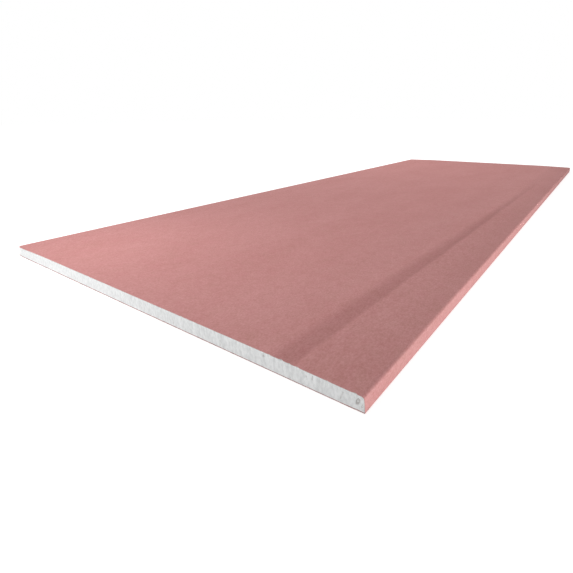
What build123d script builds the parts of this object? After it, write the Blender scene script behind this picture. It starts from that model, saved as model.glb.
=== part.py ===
from build123d import *

import os

# One full sheet of fire-rated gypsum wallboard, lying face up.
# The origin is the middle of the back, X runs across the sheet, Y along it and Z up through it.
# Lengths are in millimetres.

# The sheet as it is sold
SHEET_LENGTH = 2400.0
SHEET_WIDTH = 900.0
SHEET_THICKNESS = 25.0

# The two papers that the core was cast between
FACE_PAPER_THICKNESS = 0.5
BACK_PAPER_THICKNESS = 0.5

# The face paper turns round both long edges and is folded in over the back. The back paper is
# glued over those folds and stops a little short of each long edge.
FOLD_WIDTH = 28.0
BACK_PAPER_MARGIN = 12.0

# Each long edge is thinned from the face side for the joint filler, with a soft shoulder where
# the flat face ends. The edge itself stands plumb at the back and leans in towards the face in
# one shallow curve, rounder at the face than at the back.
TAPER_WIDTH = 140.0
TAPER_DEPTH = 2.6
SHOULDER_RADIUS = 900.0
EDGE_LEAN = 1.8
FACE_CORNER_RADIUS = 4.0
BACK_CORNER_RADIUS = 0.8


def board_section():
    """Cross-section of core and face paper together: flat back, leaning edges, tapered face."""
    edge_x = SHEET_WIDTH / 2
    corner_x = edge_x - EDGE_LEAN
    shoulder_x = edge_x - TAPER_WIDTH
    back_z = BACK_PAPER_THICKNESS
    corner_z = SHEET_THICKNESS - TAPER_DEPTH
    outline = Curve() + [
        Line((-edge_x, back_z), (edge_x, back_z)),
        TangentArc((edge_x, back_z), (corner_x, corner_z), tangent=(0, 1)),
        Line((corner_x, corner_z), (shoulder_x, SHEET_THICKNESS)),
        Line((shoulder_x, SHEET_THICKNESS), (-shoulder_x, SHEET_THICKNESS)),
        Line((-shoulder_x, SHEET_THICKNESS), (-corner_x, corner_z)),
        TangentArc((-edge_x, back_z), (-corner_x, corner_z), tangent=(0, 1)),
    ]
    section = make_face(outline)
    section = round_pair(section, shoulder_x, SHEET_THICKNESS, SHOULDER_RADIUS)
    section = round_pair(section, corner_x, corner_z, FACE_CORNER_RADIUS)
    section = round_pair(section, edge_x, back_z, BACK_CORNER_RADIUS)
    return section


def round_pair(section, x, z, radius):
    """Rounds the section's two mirrored corners that lie at this place."""
    for side in (-1, 1):
        corner = section.vertices().sort_by_distance((side * x, z))[0]
        section = fillet(corner, radius)
    return section


def fold_gap():
    """The strip of the back between the two folds, as deep as the face paper is thick."""
    width = SHEET_WIDTH - 2 * FOLD_WIDTH
    middle_z = BACK_PAPER_THICKNESS + FACE_PAPER_THICKNESS / 2
    return Pos(0, middle_z) * Rectangle(width, FACE_PAPER_THICKNESS)


def face_paper_section():
    """One skin over the face, round both long edges and in over the back as far as the folds reach."""
    board = board_section()
    return board - offset(board, -FACE_PAPER_THICKNESS) - fold_gap()


def core_section():
    """What the face paper holds: the board less that skin, flush with the folds at the back."""
    return offset(board_section(), -FACE_PAPER_THICKNESS) + fold_gap()


def back_paper_section():
    """A flat strip under core and folds, which leaves a bare margin of fold along each edge."""
    width = SHEET_WIDTH - 2 * BACK_PAPER_MARGIN
    return Pos(0, BACK_PAPER_THICKNESS / 2) * Rectangle(width, BACK_PAPER_THICKNESS)


def full_length(section):
    """Runs a section, drawn in X and Z, along the whole sheet, cut square at both ends."""
    return extrude(Plane.XZ * section, SHEET_LENGTH / 2, both=True)


pieces = {
    "gypsum_core": full_length(core_section()),
    "face_paper": full_length(face_paper_section()),
    "back_paper": full_length(back_paper_section()),
}

os.makedirs("parts", exist_ok=True)
for name, piece in pieces.items():
    export_step(piece, f"parts/{name}.step")
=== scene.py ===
import math

import bpy
import numpy as np
from mathutils import Matrix, Vector


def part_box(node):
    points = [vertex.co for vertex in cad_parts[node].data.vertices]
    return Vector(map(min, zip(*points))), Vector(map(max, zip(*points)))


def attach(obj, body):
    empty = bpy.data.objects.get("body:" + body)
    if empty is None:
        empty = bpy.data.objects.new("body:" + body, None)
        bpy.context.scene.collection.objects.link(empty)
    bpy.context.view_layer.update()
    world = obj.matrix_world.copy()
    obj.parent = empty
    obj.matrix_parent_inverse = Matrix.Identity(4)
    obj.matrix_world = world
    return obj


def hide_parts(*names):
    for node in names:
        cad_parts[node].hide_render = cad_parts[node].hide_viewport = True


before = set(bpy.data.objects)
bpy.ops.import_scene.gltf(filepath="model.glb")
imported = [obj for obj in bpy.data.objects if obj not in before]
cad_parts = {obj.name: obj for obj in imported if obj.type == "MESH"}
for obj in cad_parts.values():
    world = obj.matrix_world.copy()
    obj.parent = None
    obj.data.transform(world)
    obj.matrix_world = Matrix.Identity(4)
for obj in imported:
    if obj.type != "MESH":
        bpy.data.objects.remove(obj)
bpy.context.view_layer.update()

# Face paper
# One sheet of pink multi-ply paper, pressed from recycled fibre. The board machine turns it up round
# both long edges of the wet core and folds it in over the back, so face, edges and folds are one piece.
low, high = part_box("face_paper")
HALF_WIDTH = high.x
HALF_LENGTH = high.y
FACE_Z = high.z
FOLD_Z = low.z
PAPER = 0.0005
FOLD_WIDTH = 0.028
FACE_CORNER = 0.004
BACK_CORNER = 0.0008
EDGE_LEAN = 0.0018
TAPER_WIDTH = 0.140
TAPER_DEPTH = 0.0026
SHOULDER_BLEND = 0.017
SIDE_RISE = FACE_Z - TAPER_DEPTH - FOLD_Z

# Points in the fold and in each rounding, points up the long edge, spacing across the face, and rows
# along the sheet: how far each one near a cut end lies from it, and how many fill the middle.
BEND_POINTS = 9
EDGE_POINTS = 14
FACE_SPACING = 0.0015
END_ROWS = np.array([0, 0.3, 0.7, 1.3, 2.2, 3.5, 5.5, 8.5, 13, 20, 32, 50, 80]) / 1000
MIDDLE_ROWS = 25
CREASE = math.radians(35)

PINK_DEEP = "C38280"
PINK_BROWN = "C0857F"
PINK_PALE = "D79C9A"
INNER_PLY = "CFB0A9"
# Soiled cut edges and fibres at the foot: the paper's pink, darkened with painted shadow there.
SOIL_AND_FOOT_SHADE = "BE8482"


def smooth(low_edge, high_edge, value):
    """0 below one edge and 1 above the other, with the even curve 3t² - 2t³ between them."""
    t = np.clip((value - low_edge) / (high_edge - low_edge), 0, 1)
    return t * t * (3 - 2 * t)


def patchy(x, y, cell, seed):
    """Random heights from -1 to 1 on a lattice of cells, which repeats after many cells, eased from
    cell to cell with 3t² - 2t³. Cell gives a cell's width and length in metres."""
    columns, rows = 1024, 128
    lattice = np.random.default_rng(seed).uniform(-1, 1, (columns, rows))
    u, v = np.broadcast_arrays(x / cell[0], y / cell[1])
    i, j = np.floor(u).astype(int), np.floor(v).astype(int)
    s, t = smooth(0, 1, u - i), smooth(0, 1, v - j)
    here, beside = lattice[i % columns, j % rows], lattice[(i + 1) % columns, j % rows]
    above, across = lattice[i % columns, (j + 1) % rows], lattice[(i + 1) % columns, (j + 1) % rows]
    return (here * (1 - s) + beside * s) * (1 - t) + (above * (1 - s) + across * s) * t


def taper_drop(x):
    """How far the face lies under its flat middle: nothing as far as the shoulder, a parabola across
    the shoulder's blend, then in proportion to the distance out to the corner."""
    past = np.abs(x) - (HALF_WIDTH - TAPER_WIDTH)
    slope = TAPER_DEPTH / (TAPER_WIDTH - EDGE_LEAN)
    start = np.clip(past + SHOULDER_BLEND / 2, 0, SHOULDER_BLEND)
    return slope * (start**2 / (2 * SHOULDER_BLEND) + np.clip(past - SHOULDER_BLEND / 2, 0, None))


def edge_x(z):
    """Half the board's width at a height: plumb at the back, then in by the lean times t²."""
    return HALF_WIDTH - EDGE_LEAN * ((z - FOLD_Z) / SIDE_RISE) ** 2


def edge_tilt(z):
    """How far the long edge tips back at a height, as an angle: arctan of 2t lean / rise."""
    return np.arctan(2 * EDGE_LEAN * (z - FOLD_Z) / SIDE_RISE**2)


def face_corner():
    """Centre of the rounding between the leaning edge and the face, and the height where it leaves
    the edge: one radius inside both, closed in on in eight steps."""
    centre_x, centre_z = HALF_WIDTH - FACE_CORNER, FACE_Z - TAPER_DEPTH - FACE_CORNER
    for _ in range(8):
        leave_z = centre_z + FACE_CORNER * np.sin(edge_tilt(centre_z))
        centre_x = edge_x(leave_z) - FACE_CORNER * np.cos(edge_tilt(leave_z))
        centre_z = FACE_Z - taper_drop(centre_x) - FACE_CORNER
    return centre_x, centre_z, leave_z


def board_section(inset):
    """The right half of the board's outline, moved inwards by inset: level back, quarter circle,
    leaning edge, rounding, and the tapered and flat face. Starts where the paper's fold ends."""
    back_x, back_z = HALF_WIDTH - BACK_CORNER, FOLD_Z + BACK_CORNER
    face_x, face_z, leave_z = face_corner()
    back_radius, face_radius = BACK_CORNER - inset, FACE_CORNER - inset
    fold = np.linspace(HALF_WIDTH - FOLD_WIDTH, back_x, BEND_POINTS)[:-1]
    back_turn = np.linspace(0, math.pi / 2, BEND_POINTS)
    side = np.linspace(back_z, leave_z, EDGE_POINTS)[1:-1]
    face_turn = np.linspace(edge_tilt(leave_z), math.pi / 2, BEND_POINTS)
    face = np.linspace(face_x, 0, round(face_x / FACE_SPACING))[1:]
    stretches = [
        (fold, FOLD_Z + inset + fold * 0),
        (back_x + back_radius * np.sin(back_turn), back_z - back_radius * np.cos(back_turn)),
        (edge_x(side) - inset * np.cos(edge_tilt(side)), side - inset * np.sin(edge_tilt(side))),
        (face_x + face_radius * np.cos(face_turn), face_z + face_radius * np.sin(face_turn)),
        (face, FACE_Z - inset - taper_drop(face)),
    ]
    return np.concatenate(stretches, axis=1)


def along_rows():
    """Places along the sheet, close together at the cut ends and evenly spaced between them."""
    near = -HALF_LENGTH + END_ROWS
    middle = np.linspace(near[-1], -near[-1], MIDDLE_ROWS + 2)[1:-1]
    return np.concatenate([near, middle, -near[::-1]])


# The inner and the outer line of the streak along the taper's shoulder, a shallow hollow whose darker
# tone is painted shade of the shoulder's slope: distance from the middle at the near end, drift
# outwards for each metre along, and half the width of the line. Then how far it wanders, where it
# has faded out, over what length it fades, and how deep it and the paper's own waves are.
STREAK_INNER, INNER_DRIFT, INNER_BLUR = 0.3215, 0.0365, 0.0135
STREAK_OUTER, OUTER_DRIFT, OUTER_BLUR = 0.354, 0.0205, 0.0045
STREAK_WANDER = 0.0015
STREAK_END = 2.1
STREAK_FADING = 1.5
STREAK_DEPTH = 0.00012
WAVE_DEPTH = 0.00009


def streak(x, y):
    """The streak along the shoulder, from 0 to 1: the shallow band, darker with painted shade, between
    two straight lines that meet far up the sheet, soft at the inner one and crisp at the outer one. It
    fades out in proportion to the distance from the near end."""
    run = y + HALF_LENGTH
    x = x + STREAK_WANDER * patchy(x, run, cell=(0.05, 0.03), seed=11)
    inner = STREAK_INNER + INNER_DRIFT * run
    outer = STREAK_OUTER + OUTER_DRIFT * run
    past_inner = smooth(inner - INNER_BLUR, inner + INNER_BLUR, x)
    before_outer = smooth(outer + OUTER_BLUR, outer - OUTER_BLUR, x)
    return past_inner * before_outer * np.clip((STREAK_END - run) / STREAK_FADING, 0, 1)


def face_relief(x, y):
    """Small lows of the face, never above its flat level: slow waves in the paper, fainter short
    ones along the machine direction, and the hollow of the streak."""
    slow = patchy(x, y, cell=(0.11, 0.26), seed=1)
    short = patchy(x, y, cell=(0.035, 0.12), seed=2)
    return -WAVE_DEPTH * (0.5 + 0.35 * slow + 0.15 * short) - STREAK_DEPTH * streak(x, y)


# Places where the paper's cut edge is torn back at each end: middle, half width and depth.
NEAR_TEARS = [(0.318, 0.0020, 0.0008), (0.337, 0.0035, 0.0016), (0.349, 0.0022, 0.0012),
              (0.361, 0.0030, 0.0010), (0.402, 0.0018, 0.0007), (0.437, 0.0032, 0.0014),
              (-0.120, 0.0020, 0.0006), (0.150, 0.0024, 0.0008)]
FAR_TEARS = [(-0.301, 0.0030, 0.0012), (0.087, 0.0022, 0.0008), (0.366, 0.0026, 0.0011)]
FUZZ_DEPTH = 0.00018
# The near end's knocks: how far across the left corner is blunted, how far back at the floor and how
# much further at the face, and how far the lower arris is broken back at the right.
BLUNT_WIDTH = 0.020
BLUNT_FOOT = 0.001
BLUNT_RISE = 0.0125
ARRIS_WEAR = 0.0018
# How far from a cut end its wear has faded out, and the heights between which tears grow from slight,
# at the fold, to full, at the face.
WORN_LENGTH = 0.04
TEARS_FROM, TEARS_FULL = 0.003, 0.010


def torn_back(x, tears, seed):
    """How far the paper's cut edge stands back from the end's plane: a fine fuzz, thicker in some
    places, plus a rounded bite, 1 - t² across its half width, at each tear."""
    fine = patchy(x, 0, cell=(0.0021, 1), seed=seed)
    coarse = patchy(x, 0, cell=(0.03, 1), seed=seed + 1)
    bites = [depth * np.clip(1 - ((x - middle) / half) ** 2, 0, None) for middle, half, depth in tears]
    return FUZZ_DEPTH * (1 + fine) * (0.6 + 0.4 * coarse) + np.sum(bites, axis=0)


def knocked_back(x, z):
    """How far the near end stands back where the sheet took knocks: the left corner is blunted by
    (1 - t)² across, most at the face, and the lower arris is broken back, more towards the right
    and the floor."""
    to_corner = np.clip(1 - (x + HALF_WIDTH) / BLUNT_WIDTH, 0, 1)
    corner = (BLUNT_FOOT + BLUNT_RISE * z / FACE_Z) * to_corner**2
    to_right, to_floor = np.clip(x / HALF_WIDTH, 0, 1), np.clip(1 - z / FACE_Z, 0, 1)
    return corner + ARRIS_WEAR * to_right * to_floor**2


def paper_surface(inset):
    """One side of the face paper as a grid: the whole outline carried along the rows, with the cut
    edges worn back by (1 - t)² over the worn length. The face's relief is on the outer side only,
    and fades down the edges."""
    x, z = board_section(inset)
    x, z = np.r_[x, -x[-2::-1]], np.r_[z, z[-2::-1]]
    rows = along_rows()
    grid_x, grid_y = np.meshgrid(x, rows)
    torn = 0.2 + 0.8 * smooth(TEARS_FROM, TEARS_FULL, z)
    near_wear = torn * torn_back(x, NEAR_TEARS, 21) + knocked_back(x, z)
    far_wear = torn * torn_back(x, FAR_TEARS, 31)
    for end, wear in ((-1, near_wear), (1, far_wear)):
        fade = np.clip(1 - (HALF_LENGTH - end * rows[:, None]) / WORN_LENGTH, 0, 1) ** 2
        grid_y = grid_y - end * fade * wear
    relief = face_relief(grid_x, grid_y) * smooth(FOLD_Z, FACE_Z - TAPER_DEPTH, z) * (inset == 0)
    return np.stack([grid_x, grid_y, z + relief], axis=-1)


def grid_faces(numbers):
    """Four-sided faces between the points of a grid, whose numbers are given row by row."""
    corners = [numbers[:-1, :-1], numbers[:-1, 1:], numbers[1:, 1:], numbers[1:, :-1]]
    return np.stack(corners, axis=-1).reshape(-1, 4)


def grid_rim(numbers):
    """The numbers of a grid's outermost points, once round."""
    return np.r_[numbers[0, :-1], numbers[:-1, -1], numbers[-1, :0:-1], numbers[:0:-1, 0]]


def band_faces(ring, other_ring):
    """Four-sided faces between two closed rings of as many points."""
    return np.stack([np.roll(ring, -1), ring, other_ring, np.roll(other_ring, -1)], axis=-1)


def closed_shell(outer, inner):
    """Points and faces of a closed skin: two grids of the same size, the inner one turned over,
    joined round their rims. Also which part each face is in: 0 outer, 1 inner, 2 rim."""
    rows, columns = outer.shape[:2]
    count = rows * columns
    numbers = np.arange(count).reshape(rows, columns)
    sheet, rim = grid_faces(numbers), grid_rim(numbers)
    band = band_faces(rim, rim + count)
    points = np.concatenate([outer.reshape(-1, 3), inner.reshape(-1, 3)])
    quads = np.concatenate([sheet, sheet[:, ::-1] + count, band])
    return points, quads, np.repeat([0, 1, 2], [len(sheet), len(sheet), len(band)])


def make_piece(name, points, quads, materials, finish=0):
    """A mesh object from points and four-sided faces, turned to face outwards, smooth but for
    creases. Finish is the number of the material of all faces or of each."""
    a, b, c, d = (points[quads[:, n]] for n in range(4))
    if np.einsum("ij,ij->", a, np.cross(b, c) + np.cross(c, d)) < 0:
        quads = quads[:, ::-1]
    mesh = bpy.data.meshes.new(name)
    mesh.from_pydata(points.tolist(), [], quads.tolist())
    mesh.shade_smooth()
    mesh.set_sharp_from_angle(angle=CREASE)
    for material in materials:
        mesh.materials.append(material)
    mesh.polygons.foreach_set("material_index", np.full(len(quads), finish, np.int32))
    piece = bpy.data.objects.new(name, mesh)
    bpy.context.scene.collection.objects.link(piece)
    return piece


def write_attribute(piece, name, values):
    """Stores one number, or three, for each point of a piece, for its material to read."""
    kind, field = ("FLOAT", "value") if values.ndim == 1 else ("FLOAT_VECTOR", "vector")
    layer = piece.data.attributes.new(name, kind, "POINT")
    layer.data.foreach_set(field, values.astype(np.float32).ravel())


def linear(code):
    """An sRGB hex code as the linear colour that shaders take: a straight foot, then a power."""
    channels = np.array([int(code[n:n + 2], 16) / 255 for n in (0, 2, 4)])
    straight = np.where(channels <= 0.04045, channels / 12.92, ((channels + 0.055) / 1.055) ** 2.4)
    return (*straight, 1.0)


def add_node(tree, kind, values=(), links=(), **settings):
    """Adds a node, then its settings, the values of its inputs and the outputs linked to them."""
    node = tree.nodes.new(kind)
    for name, setting in settings.items():
        setattr(node, name, setting)
    for socket, value in dict(values).items():
        node.inputs[socket].default_value = value
    for socket, output in dict(links).items():
        tree.links.new(output, node.inputs[socket])
    return node


def blank_material(name):
    """A new material with an empty node tree and its output."""
    material = bpy.data.materials.new(name)
    material.use_nodes = True
    material.node_tree.nodes.clear()
    return material, material.node_tree, material.node_tree.nodes.new("ShaderNodeOutputMaterial")


def speckle(tree, size_mm, low_value, high_value, stretch, detail, seed):
    """Noise with patches of this size in millimetres. Its middle part, as wide as spread to both
    sides of a half, is mapped from low_value to high_value, and the rest is cut off there. Stretch
    lengthens the patches along X, Y and Z, and seed slides them to another part of the pattern."""
    spread = 0.22
    place = add_node(tree, "ShaderNodeTexCoord")
    slide = {"Location": (seed, seed, seed), "Scale": [1 / s for s in stretch]}
    slid = add_node(tree, "ShaderNodeMapping", slide, {"Vector": place.outputs["Object"]})
    pattern = {"Scale": 1000 / size_mm, "Detail": detail, "Roughness": 0.55}
    noise = add_node(tree, "ShaderNodeTexNoise", pattern, {"Vector": slid.outputs["Vector"]})
    span = {"From Min": 0.5 - spread, "From Max": 0.5 + spread,
            "To Min": low_value, "To Max": high_value}
    return add_node(tree, "ShaderNodeMapRange", span, {"Value": noise.outputs["Fac"]}).outputs["Result"]


def combined(tree, operation, *terms):
    """Adds these outputs, multiplies them or takes the largest, one after another."""
    result = terms[0]
    for term in terms[1:]:
        step = add_node(tree, "ShaderNodeMath", {}, {0: result, 1: term}, operation=operation)
        result = step.outputs[0]
    return result


# The Mix node's sockets, some of which share a name, by their numbers.
FACTOR, COLOUR_A, COLOUR_B, COLOUR_OUT = 0, 6, 7, 2
NUMBER_A, NUMBER_B, NUMBER_OUT = 2, 3, 0


def between(tree, low_code, high_code, factor, value):
    """A colour mixed between two hex codes by factor, then scaled by value."""
    codes = {COLOUR_A: linear(low_code), COLOUR_B: linear(high_code)}
    mixed = add_node(tree, "ShaderNodeMix", codes, {FACTOR: factor}, data_type="RGBA")
    scaled = add_node(tree, "ShaderNodeVectorMath", {}, {0: mixed.outputs[COLOUR_OUT], "Scale": value},
                      operation="SCALE")
    return scaled.outputs["Vector"]


def matt_surface(tree, output, colour, roughness, relief, depth_mm, strength):
    """A dull dielectric surface with this colour and a fine bump, as deep in millimetres as given."""
    bump = add_node(tree, "ShaderNodeBump", {"Strength": strength, "Distance": depth_mm / 1000},
                    {"Height": relief})
    shader = add_node(tree, "ShaderNodeBsdfPrincipled",
                      {"Roughness": roughness, "Specular IOR Level": 0.1, "IOR": 1.5},
                      {"Base Color": colour, "Normal": bump.outputs["Normal"]})
    tree.links.new(shader.outputs[0], output.inputs["Surface"])


def pink_liner_paper():
    """Pink liner paper, machine-made and uncoated: matt, cloudy where the dyed fibre lies thicker or
    thinner, from patches as wide as a hand down to fibres and fuzz, which give the eye a soft, dry
    surface and are drawn coarser than the real ones so that they show. The dye itself is a little
    browner in places."""
    material, tree, output = blank_material("pink liner paper, uncoated")
    clouds = speckle(tree, 90, -0.10, 0.10, stretch=(1, 2.5, 1), detail=1, seed=3.1)
    patches = speckle(tree, 18, -0.08, 0.08, stretch=(1, 1.6, 1), detail=1, seed=4.4)
    formation = speckle(tree, 6.0, 0.35, 0.65, stretch=(1, 1.6, 1), detail=2, seed=7.7)
    fibres = speckle(tree, 2.4, -0.28, 0.28, stretch=(1, 1.8, 1), detail=1, seed=1.3)
    fuzz = speckle(tree, 0.45, -0.35, 0.35, stretch=(1, 2.6, 1), detail=2, seed=8.8)
    pallor = combined(tree, "ADD", clouds, patches, formation, fibres, fuzz)
    stain = speckle(tree, 20, 0.0, 1.0, stretch=(1, 1.5, 1), detail=2, seed=6.3)
    dyes = {COLOUR_A: linear(PINK_DEEP), COLOUR_B: linear(PINK_BROWN)}
    dyed = add_node(tree, "ShaderNodeMix", dyes, {FACTOR: stain}, data_type="RGBA").outputs[COLOUR_OUT]
    paper = add_node(tree, "ShaderNodeMix", {COLOUR_B: linear(PINK_PALE)},
                     {FACTOR: pallor, COLOUR_A: dyed}, data_type="RGBA", clamp_factor=False)
    # Painted light and shade of the face and edges, a tint and the nick, taken from the paper's colour.
    shade = add_node(tree, "ShaderNodeAttribute", attribute_name="painted_light_and_marks")
    colour = add_node(tree, "ShaderNodeVectorMath", {},
                      {0: paper.outputs[COLOUR_OUT], 1: shade.outputs["Vector"]}, operation="MULTIPLY")
    relief = speckle(tree, 0.7, 0.0, 1.0, stretch=(1, 3, 1), detail=3, seed=5.2)
    matt_surface(tree, output, colour.outputs["Vector"], 0.88, relief, depth_mm=0.12, strength=0.35)
    return material


def bare_inner_ply():
    """The undyed plies that show at the paper's cut edge: greyish, torn and fibrous."""
    material, tree, output = blank_material("paper inner plies, undyed")
    fibres = speckle(tree, 0.5, 0.85, 1.1, stretch=(1, 1, 0.4), detail=3, seed=4.8)
    colour = add_node(tree, "ShaderNodeVectorMath", {0: linear(INNER_PLY)[:3]}, {"Scale": fibres},
                      operation="SCALE")
    matt_surface(tree, output, colour.outputs["Vector"], 0.95, fibres, depth_mm=0.1, strength=0.4)
    return material


def soiled_and_shaded_paper_edge():
    """The papers' cut edge underneath, where dust clings to the open fibres, with painted shadow where
    the sheet meets the floor: a dull pink that draws a thin line under the white core."""
    material, tree, output = blank_material("soiled paper cut edge with painted shadow")
    soil = speckle(tree, 3.0, 0.8, 1.15, stretch=(1, 1, 1), detail=2, seed=5.5)
    colour = add_node(tree, "ShaderNodeVectorMath", {0: linear(SOIL_AND_FOOT_SHADE)[:3]}, {"Scale": soil},
                      operation="SCALE")
    matt_surface(tree, output, colour.outputs["Vector"], 0.95, soil, depth_mm=0.1, strength=0.4)
    return material


# Where each mark starts to show and where it is full: the height of the face, the place across of
# the strip's painted shade, of its darker part and of the right side's tint, and the distance of the
# painted shade by the near right corner from the edge and from the near end.
FACE_FROM, FACE_FULL = FACE_Z - 0.005, FACE_Z - 0.0032
STRIP_FROM, STRIP_FULL = 0.35, 0.37
DARKER_FROM, DARKER_FULL = 0.38, 0.44
TINT_FROM, TINT_FULL = 0.15, 0.32
CORNER_EDGE_FROM, CORNER_EDGE_FULL = 0.0095, 0.003
CORNER_END_FROM, CORNER_END_FULL = 0.13, 0.09
# The nick on the right edge: distance from the near end and half length, height and half height.
NICK_Y, NICK_HALF_LENGTH = 0.0088, 0.0025
NICK_Z, NICK_HALF_HEIGHT = 0.0017, 0.0012
# What each takes from red, green and blue, most of it painted shade or light: less than nothing makes
# the paper paler.
# Painted shade of the streak, for the shoulder's slope turned from the light.
STREAK_PAINTED_SHADE = np.array([0.17, 0.21, 0.21])
# Painted shade of the right taper's strip, which slopes away from the light.
STRIP_PAINTED_SHADE = np.array([0.045, 0.045, 0.045])
# Painted shade where the face turns into the right edge, by the near corner.
CORNER_EDGE_PAINTED_SHADE = np.array([0.08, 0.08, 0.08])
# Less red, and a little more green and blue, towards the right side of the face.
RIGHT_TINT = np.array([0.012, -0.012, -0.012])
# Painted light: the long edges are paler, for the brighter light that falls on them.
EDGE_PAINTED_LIGHT = np.array([0.0, -0.075, -0.08])
NICK_SHADE = np.array([0.36, 0.30, 0.30])


def taken_by_painted_light_and_marks(x, y, z):
    """What painted light and shade, a tint and a nick take from red, green and blue at each point. On
    the face they are the painted shade of the streak, of the strip of the right taper and of the turn
    into the edge by the near right corner, and a tint towards the right side. The long edges are
    painted paler, for the brighter light on them, and the nick is a spot, exp(-r²)."""
    on_face = smooth(FACE_FROM, FACE_FULL, z)
    # Painted shade on the right taper's strip, doubled further out.
    strip = smooth(STRIP_FROM, STRIP_FULL, x) * (1 + smooth(DARKER_FROM, DARKER_FULL, x))
    # Painted shade on the face's turn into the right edge, for the first stretch from the near end.
    by_edge = smooth(CORNER_EDGE_FROM, CORNER_EDGE_FULL, HALF_WIDTH - x)
    corner_edge_shade = by_edge * smooth(CORNER_END_FROM, CORNER_END_FULL, HALF_LENGTH + y)
    # A tint towards the right side: less red, more green and blue.
    right_tint = smooth(TINT_FROM, TINT_FULL, x)
    marks = np.stack([streak(x, y), strip, corner_edge_shade, right_tint], axis=-1) * on_face[:, None]
    taken = marks @ np.stack([STREAK_PAINTED_SHADE, STRIP_PAINTED_SHADE, CORNER_EDGE_PAINTED_SHADE, RIGHT_TINT])
    along, upwards = (HALF_LENGTH + y - NICK_Y) / NICK_HALF_LENGTH, (z - NICK_Z) / NICK_HALF_HEIGHT
    nick = np.exp(-along**2 - upwards**2) * (x > 0)
    # The long edges are painted paler, for the brighter light on them.
    return taken + np.outer(1 - on_face, EDGE_PAINTED_LIGHT) + np.outer(nick, NICK_SHADE)


# The outer side is pink, the inner side and the rim are bare plies, and the rim underneath is soiled,
# with painted shadow where it meets the floor.
soiled_and_shaded_edge = soiled_and_shaded_paper_edge()
paper_finishes = [pink_liner_paper(), bare_inner_ply(), soiled_and_shaded_edge]
paper_points, paper_quads, paper_part = closed_shell(paper_surface(0), paper_surface(PAPER))
is_low = paper_points[paper_quads, 2].mean(axis=1) < FOLD_Z + 2 * PAPER
paper_finish = np.where(paper_part == 2, 1 + is_low, paper_part)
face_paper = make_piece("face_paper_sheet", paper_points, paper_quads, paper_finishes, paper_finish)
# Painted light and shade, a tint and the nick, kept for the paper's material.
write_attribute(face_paper, "painted_light_and_marks", 1 - taken_by_painted_light_and_marks(*paper_points.T))
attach(face_paper, "root")
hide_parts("face_paper")

# Gypsum core
# One slab of aerated gypsum plaster with short glass fibres, cast between the papers and cut to
# length. The cut ends stay bare: white, with upright tool marks, a few gouges and a crumbly arris.
CORE_WHITE = "F9FAFA"
CUT_SHADOW = "CFCBC8"
# Points across and up each cut face, how much they crowd towards the right and towards both arrises,
# how wide the step beside the folds is, and how far from the ends the sides' rings lie.
CORE_COLUMNS = 1160
CORE_ROWS = 36
COLUMN_CROWDING = 0.2
ROW_CROWDING = 0.2
FOLD_STEP = 0.0004
RING_PLACES = np.array([0.018, 0.027])
# Waves that the tool left in the cut faces: half depth, width and height of each kind.
TOOL_WAVES = [(0.00009, 0.0037, 0.050), (0.00004, 0.0015, 0.014), (0.00010, 0.0052, 0.0075)]
BUBBLE_DEPTH, BUBBLE_SIZE = 0.00025, 0.0019
# Gouges in the cut faces: middle across, middle up, half width, half height, depth and lean.
NEAR_GOUGES = [
    (0.4410, 0.0130, 0.0021, 0.0041, 0.0008, 0.15),
    (0.4465, 0.0095, 0.0009, 0.0030, 0.0006, 0.10),
    (0.4214, 0.0120, 0.0008, 0.0055, 0.0005, 0.30),
    (0.3826, 0.0175, 0.0008, 0.0032, 0.0005, 0.10),
    (0.3743, 0.0163, 0.0010, 0.0012, 0.0005, 0.00),
    (0.3370, 0.0170, 0.0012, 0.0026, 0.0003, 0.00),
    (0.3090, 0.0185, 0.0012, 0.0016, 0.0007, 0.00),
    (0.2300, 0.0090, 0.0012, 0.0045, 0.0004, 0.10),
    (0.1280, 0.0120, 0.0014, 0.0070, 0.0004, -0.10),
    (-0.1500, 0.0140, 0.0012, 0.0050, 0.0003, 0.00),
]
FAR_GOUGES = [
    (-0.3620, 0.0120, 0.0026, 0.0050, 0.0008, 0.15),
    (-0.1040, 0.0150, 0.0016, 0.0060, 0.0005, 0.00),
    (0.1930, 0.0080, 0.0020, 0.0040, 0.0006, -0.20),
    (0.4100, 0.0130, 0.0018, 0.0055, 0.0006, 0.10),
]
# How deep the upper and the lower arris crumble, and how soon that ends: larger is sooner.
UPPER_CRUMBLE, UPPER_FALL = 0.0003, 20
LOWER_CRUMBLE, LOWER_FALL = 0.00015, 28


def core_section(across, up):
    """A point of the core's section: across from -1 to 1 and up from 0 to 1. The half width at each
    height follows the leaning edge and its roundings, and the height at each width the taper."""
    back_x, back_z = HALF_WIDTH - BACK_CORNER, FOLD_Z + BACK_CORNER
    face_x, face_z, leave_z = face_corner()
    height = FOLD_Z + PAPER + up * (face_z + FACE_CORNER - FOLD_Z - 2 * PAPER)
    low_turn = back_x + np.sqrt(np.clip((BACK_CORNER - PAPER) ** 2 - (height - back_z) ** 2, 0, None))
    high_turn = face_x + np.sqrt(np.clip((FACE_CORNER - PAPER) ** 2 - (height - face_z) ** 2, 0, None))
    half = edge_x(height) - PAPER / np.cos(edge_tilt(height))
    half = np.where(height < back_z, low_turn, half)
    half = np.where(height > leave_z - PAPER * np.sin(edge_tilt(leave_z)), high_turn, half)
    x = across * half
    fold_x = HALF_WIDTH - FOLD_WIDTH
    under = FOLD_Z + PAPER * smooth(fold_x - FOLD_STEP, fold_x, np.abs(x))
    over = FACE_Z - PAPER - taper_drop(np.minimum(np.abs(x), face_x))
    return x, under + up * (over - under)


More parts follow.
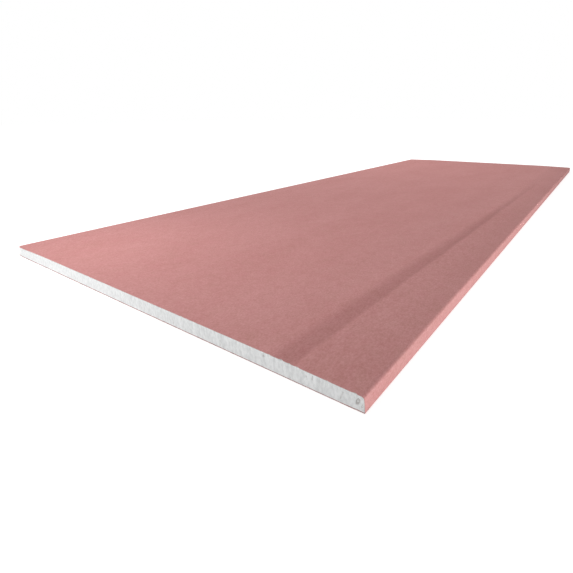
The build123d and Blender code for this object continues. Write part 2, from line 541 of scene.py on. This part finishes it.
def cut_depth(x, z, up, tears, gouges, seed):
    """How far the cut face stands back from the end's plane: upright waves of the tool, faint open
    bubbles, gouges, and arrises that crumble away by exp(-t), the upper one most where the paper is
    torn. A gouge is an ellipse with a rough rim, and its middle stands up again by most of its depth."""
    depth = 0
    for n, (half_depth, width, height) in enumerate(TOOL_WAVES):
        depth = depth + half_depth * (1 + patchy(x, z, cell=(width, height), seed=seed + n))
    bubbles = patchy(x, z, cell=(BUBBLE_SIZE, BUBBLE_SIZE), seed=seed + 3)
    depth = depth + BUBBLE_DEPTH * smooth(0.65, 0.95, bubbles)
    coarse = patchy(x, z, cell=(0.0016, 0.0024), seed=seed + 5)
    fine = patchy(x, z, cell=(0.0008, 0.0011), seed=seed + 6)
    rough = 0.16 * coarse + 0.10 * fine
    for middle_x, middle_z, half_x, half_z, deepest, lean in gouges:
        aside = (x - middle_x - lean * (z - middle_z)) / half_x
        away = np.sqrt(aside**2 + ((z - middle_z) / half_z) ** 2) + rough
        depth = depth + deepest * (smooth(1.3, 0.95, away) - 0.7 * smooth(0.75, 0.25, away))
    crumble = 0.5 + 0.5 * patchy(x, z, cell=(0.0024, 0.003), seed=seed + 4)
    upper = np.exp(-(1 - up) * UPPER_FALL) * (UPPER_CRUMBLE * crumble + 0.4 * torn_back(x, tears, seed))
    lower = np.exp(-up * LOWER_FALL) * LOWER_CRUMBLE * crumble
    return depth + upper + lower


def core_mesh():
    """Both cut faces as grids, crowded towards the right where most of the marks are, and the sides
    between their rims in a few bands, all one closed skin. Also gives each point's depth behind its
    end's plane."""
    share = np.linspace(0, 1, CORE_ROWS)
    up = (1 - 2 * ROW_CROWDING) * share + ROW_CROWDING * (1 - np.cos(math.pi * share))
    even = np.linspace(-1, 1, CORE_COLUMNS)
    across, up = np.meshgrid(even + COLUMN_CROWDING * (1 - even**2), up)
    x, z = core_section(across, up)
    near_depth = cut_depth(x, z, up, NEAR_TEARS, NEAR_GOUGES, 41)
    far_depth = cut_depth(x, z, up, FAR_TEARS, FAR_GOUGES, 51)
    near = np.stack([x, near_depth + knocked_back(x, z) - HALF_LENGTH, z], axis=-1).reshape(-1, 3)
    far = np.stack([x, HALF_LENGTH - far_depth, z], axis=-1).reshape(-1, 3)
    numbers = np.arange(x.size).reshape(x.shape)
    faces, rim = grid_faces(numbers), grid_rim(numbers)
    ring_y = np.r_[RING_PLACES - HALF_LENGTH, HALF_LENGTH - RING_PLACES[::-1]]
    sides = np.tile(near[rim], (len(ring_y), 1))
    sides[:, 1] = np.repeat(ring_y, len(rim))
    side_numbers = 2 * x.size + np.arange(len(sides)).reshape(len(ring_y), len(rim))
    rings = [rim, *side_numbers, rim + x.size]
    bands = [band_faces(ring, other_ring) for ring, other_ring in zip(rings, rings[1:])]
    points = np.concatenate([near, far, sides])
    quads = np.concatenate([faces, faces[:, ::-1] + x.size, *bands])
    return points, quads, np.r_[near_depth.ravel(), far_depth.ravel(), np.zeros(len(sides))]


def cast_gypsum():
    """Set gypsum plaster, aerated and sawn: chalk white, dull, marked in upright strokes, painted bolder
    towards the right for the light that shows them more there, and with painted shade down in the
    gouges, which shows the eye that the cut is rough. Its grain is drawn coarser than the real one so
    that it shows. Soiled paper fibres cling to its foot, with painted shadow where it meets the floor."""
    material, tree, output = blank_material("cast gypsum, sawn")
    bands = speckle(tree, 11, 0.965, 1.035, stretch=(1, 1, 8), detail=1, seed=2.4)
    strokes = speckle(tree, 3.0, 0.965, 1.03, stretch=(1, 1, 9), detail=2, seed=3.7)
    blotches = speckle(tree, 4.0, 0.895, 1.06, stretch=(1, 1, 1.8), detail=1, seed=4.5)
    grain = speckle(tree, 0.6, 0.95, 1.045, stretch=(1, 1, 1.6), detail=3, seed=9.1)
    shade, contrast, fibres = (add_node(tree, "ShaderNodeAttribute", attribute_name=name).outputs["Fac"]
                               for name in ("cut_shade", "painted_light_contrast", "fibres_and_painted_shadow"))
    tool_marks = combined(tree, "MULTIPLY", bands, strokes)
    # Painted light and shade: the tool's marks grow bolder towards the right.
    upright = add_node(tree, "ShaderNodeMix", {NUMBER_A: 1.0}, {FACTOR: contrast, NUMBER_B: tool_marks},
                       clamp_factor=False)
    mottle = combined(tree, "MULTIPLY", upright.outputs[NUMBER_OUT], blotches, grain)
    white = between(tree, CORE_WHITE, CUT_SHADOW, shade, mottle)
    # Soiled fibres and painted shadow darken the foot of the cut faces.
    colour = add_node(tree, "ShaderNodeMix", {COLOUR_B: linear(SOIL_AND_FOOT_SHADE)},
                      {FACTOR: fibres, COLOUR_A: white}, data_type="RGBA")
    relief = speckle(tree, 0.6, 0.0, 1.0, stretch=(1, 1, 1), detail=4, seed=6.6)
    matt_surface(tree, output, colour.outputs[COLOUR_OUT], 0.95, relief, depth_mm=0.2, strength=0.5)
    return material


# The depths between which a cut face turns from white to its painted shadow tone. Across the face,
# the tool's marks grow from faint at the first place to bold at the second: painted light and shade,
# for the light that shows them more towards the right.
SHADOW_FROM, SHADOW_FULL = 0.0003, 0.0011
PAINTED_LIGHT_PLACES = (-0.35, 0.38)
PAINTED_LIGHT_CONTRAST = (0.2, 1.9)
# Soiled paper fibres and painted shadow at the foot of the cut faces, where the sheet meets the floor:
# the height that they reach in the middle, how much that loses out to the right edge, gains just beside
# that edge, where the fold lies bare over a gap, and varies along, and the height up to which their
# cover is full. Then the places between which the stretch beside the edge begins.
FOOT_LINE_HEIGHT = 0.0016
FOOT_LINE_LOSS = 0.0003
FOOT_LINE_GAIN = 0.0008
FOOT_LINE_VARIES = 0.0003
FOOT_LINE_FULL = 0.0003
BESIDE_FROM, BESIDE_FULL = 0.434, 0.440


def fibres_and_foot_shadow(x, y, z):
    """How much of a cut face's foot soiled paper fibres and painted shadow cover, from 0 to 1: most at
    the fold and none above the height that they reach. They are thinner out to the right, but for the
    stretch beside the edge, where the shadow of the gap under the bare fold is painted in."""
    beside = smooth(BESIDE_FROM, BESIDE_FULL, x)
    ragged = patchy(x, y, cell=(0.006, 1), seed=71)
    reach = FOOT_LINE_HEIGHT - FOOT_LINE_LOSS * x / HALF_WIDTH + FOOT_LINE_GAIN * beside + FOOT_LINE_VARIES * ragged
    cover = 0.85 - 0.2 * smooth(0.0, 0.35, x) + 0.3 * beside
    return cover * smooth(reach, FOOT_LINE_FULL, z - FOLD_Z)


core_points, core_quads, core_depth = core_mesh()
gypsum_core = make_piece("gypsum_core_slab", core_points, core_quads, [cast_gypsum()])
write_attribute(gypsum_core, "cut_shade", smooth(SHADOW_FROM, SHADOW_FULL, core_depth))
# How bold the tool's marks are painted across the face, for the light that shows them more at the right.
write_attribute(gypsum_core, "painted_light_contrast", np.interp(core_points[:, 0], PAINTED_LIGHT_PLACES, PAINTED_LIGHT_CONTRAST))
# Soiled fibres and painted shadow at the foot, on the cut faces only.
write_attribute(gypsum_core, "fibres_and_painted_shadow", fibres_and_foot_shadow(*core_points.T) * (core_depth > 0))
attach(gypsum_core, "root")
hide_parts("gypsum_core")

# Back paper
# One flat strip of unbleached recycled liner, laid on the wet core last and glued over the folds of
# the face paper. It stops short of both long edges, so a margin of pink fold stays bare.
BACK_MARGIN = 0.012
BACK_DEEP = "8F7C76"
BACK_PALE = "A8938C"
BACK_COLUMNS = 293
BACK_WANDER = 0.0003
BACK_FUZZ = 0.00012


def back_surface(height):
    """One side of the back paper: a level grid whose long edges wander, as a slit web's do, with a
    fuzzy cut edge at both ends, knocked back with the rest at the near one."""
    half = HALF_WIDTH - BACK_MARGIN
    x, y = np.meshgrid(np.linspace(-half, half, BACK_COLUMNS), along_rows())
    wander = BACK_WANDER * patchy(y, 0, cell=(0.4, 1), seed=61)
    fuzz = BACK_FUZZ * (1 + patchy(x, 0, cell=(0.0034, 1), seed=62))
    wear = fuzz + knocked_back(x, height) * (y < 0)
    fade = np.clip(1 - (HALF_LENGTH - np.abs(y)) / WORN_LENGTH, 0, 1) ** 2
    return np.stack([x + wander, y - np.sign(y) * fade * wear, np.full(x.shape, height)], axis=-1)


def grey_liner_paper():
    """Unbleached recycled liner paper: greyish brown with a pink cast and matt, with dark and pale
    flecks of old print and fibre that break up its colour."""
    material, tree, output = blank_material("recycled liner paper, unbleached")
    formation = speckle(tree, 4.0, 0.0, 1.0, stretch=(1, 1.6, 1), detail=3, seed=2.9)
    clouds = speckle(tree, 70, 0.97, 1.03, stretch=(1, 2, 1), detail=1, seed=8.3)
    flecks = speckle(tree, 1.6, 0.85, 1.12, stretch=(1, 2.2, 1), detail=0, seed=6.1)
    value = combined(tree, "MULTIPLY", clouds, flecks)
    colour = between(tree, BACK_DEEP, BACK_PALE, formation, value)
    relief = speckle(tree, 0.8, 0.0, 1.0, stretch=(1, 2.5, 1), detail=3, seed=1.8)
    matt_surface(tree, output, colour, 0.92, relief, depth_mm=0.15, strength=0.4)
    return material


back_points, back_quads, back_part = closed_shell(back_surface(0.0), back_surface(FOLD_Z))
# The rim is the soiled edge, with its painted shadow.
back_finishes = [grey_liner_paper(), soiled_and_shaded_edge]
back_paper = make_piece("back_paper_sheet", back_points, back_quads, back_finishes, back_part == 2)
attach(back_paper, "root")
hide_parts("back_paper")

# Floor and backdrop
# A pale matt studio floor that runs out to a white backdrop. Seen by the camera and in reflections
# it is lifted to white, less the sheet's own shadow. To all other rays it is plain pale paint.
FLOOR_HALF = 30.0
FLOOR_PALE = "E8E8E8"
FLOOR_LIFT = 0.62
WHITE = (1, 1, 1, 1)
WORLD_LIGHT = 0.49


def seen_directly(tree):
    """1 for camera, glossy and transmission rays, and 0 for the light that falls on things."""
    path = add_node(tree, "ShaderNodeLightPath")
    rays = [path.outputs[f"Is {kind} Ray"] for kind in ("Camera", "Glossy", "Transmission")]
    return combined(tree, "MAXIMUM", *rays)


def studio_floor_paint():
    """Matt pale floor paint, lifted towards white where it is seen directly."""
    material, tree, output = blank_material("matt floor paint")
    paint = add_node(tree, "ShaderNodeBsdfDiffuse", {"Color": linear(FLOOR_PALE)}).outputs[0]
    glow = add_node(tree, "ShaderNodeEmission", {"Strength": FLOOR_LIFT}).outputs[0]
    lifted = add_node(tree, "ShaderNodeAddShader", {}, {0: paint, 1: glow}).outputs[0]
    shown = add_node(tree, "ShaderNodeMixShader", {}, {0: seen_directly(tree), 1: paint, 2: lifted})
    tree.links.new(shown.outputs[0], output.inputs["Surface"])
    return material


floor_points = np.array([(-1, -1, 0), (1, -1, 0), (1, 1, 0), (-1, 1, 0)]) * FLOOR_HALF
floor = make_piece("studio_floor", floor_points, np.array([[0, 1, 2, 3]]), [studio_floor_paint()])

world = bpy.data.worlds.new("white backdrop")
world.use_nodes = True
sky = world.node_tree
sky.nodes.clear()
ambient = add_node(sky, "ShaderNodeBackground", {"Color": WHITE, "Strength": WORLD_LIGHT}).outputs[0]
backdrop = add_node(sky, "ShaderNodeBackground", {"Color": WHITE, "Strength": 1.0}).outputs[0]
shown = add_node(sky, "ShaderNodeMixShader", {}, {0: seen_directly(sky), 1: ambient, 2: backdrop})
add_node(sky, "ShaderNodeOutputWorld", {}, {"Surface": shown.outputs[0]})
bpy.context.scene.world = world


# Studio lamps
# Four lamps that the camera doesn't see: a bulb close over the near left corner and one in front of
# the cut end make the pool of light there, one soft box lights the long edge and one the far end.
def hang_lamp(name, kind, place, aim, size, power):
    """A bulb (POINT) or a soft box (AREA) turned to a point: size in metres, power in watts."""
    data = bpy.data.lights.new(name, kind)
    data.energy = power
    if kind == "AREA":
        data.size = size
    else:
        data.shadow_soft_size = size
    lamp = bpy.data.objects.new(name, data)
    lamp.location = place
    lamp.rotation_mode = "QUATERNION"
    lamp.rotation_quaternion = (Vector(aim) - Vector(place)).to_track_quat("-Z", "Y")
    lamp.visible_camera = False
    bpy.context.scene.collection.objects.link(lamp)


hang_lamp("corner_bulb", "POINT", (-0.317, -1.174, 0.518), (-0.317, -1.174, 0.0), 0.05, 4.36)
hang_lamp("end_bulb", "POINT", (-0.278, -2.03, 0.12), (-0.278, -1.2, 0.0), 0.04, 9.4)
hang_lamp("edge_soft_box", "AREA", (2.7, -0.95, 0.12), (0.0, -0.7, 0.0), 0.35, 41.0)
hang_lamp("far_soft_box", "AREA", (-1.82, 1.4, 2.1), (0.0, -0.4, 0.0), 1.0, 33.2)

# Camera
# It stands off the near right corner, low over the sheet, and looks along it to the far left. Its
# place, turn and focal length, in pixels of the photo's frame, were fitted to the sheet's edges.
CAMERA_PLACE = (0.5887, -1.5097, 0.2914)
FOCAL_PIXELS = 393.85
FRAME_PIXELS = 573
SENSOR_MM = 36
PITCH = math.radians(23.251)
HEADING = math.radians(37.940)
ROLL = math.radians(-0.660)

camera = bpy.data.objects.new("camera", bpy.data.cameras.new("camera"))
camera.data.lens = FOCAL_PIXELS * SENSOR_MM / FRAME_PIXELS
camera.data.sensor_width = SENSOR_MM
camera.data.clip_start = 0.01
camera.data.clip_end = 100
camera.matrix_world = (Matrix.Translation(CAMERA_PLACE) @ Matrix.Rotation(HEADING, 4, "Z")
                       @ Matrix.Rotation(math.pi / 2 - PITCH, 4, "X") @ Matrix.Rotation(ROLL, 4, "Z"))
bpy.context.scene.collection.objects.link(camera)
bpy.context.scene.camera = camera
bpy.context.scene.view_settings.view_transform = "Standard"
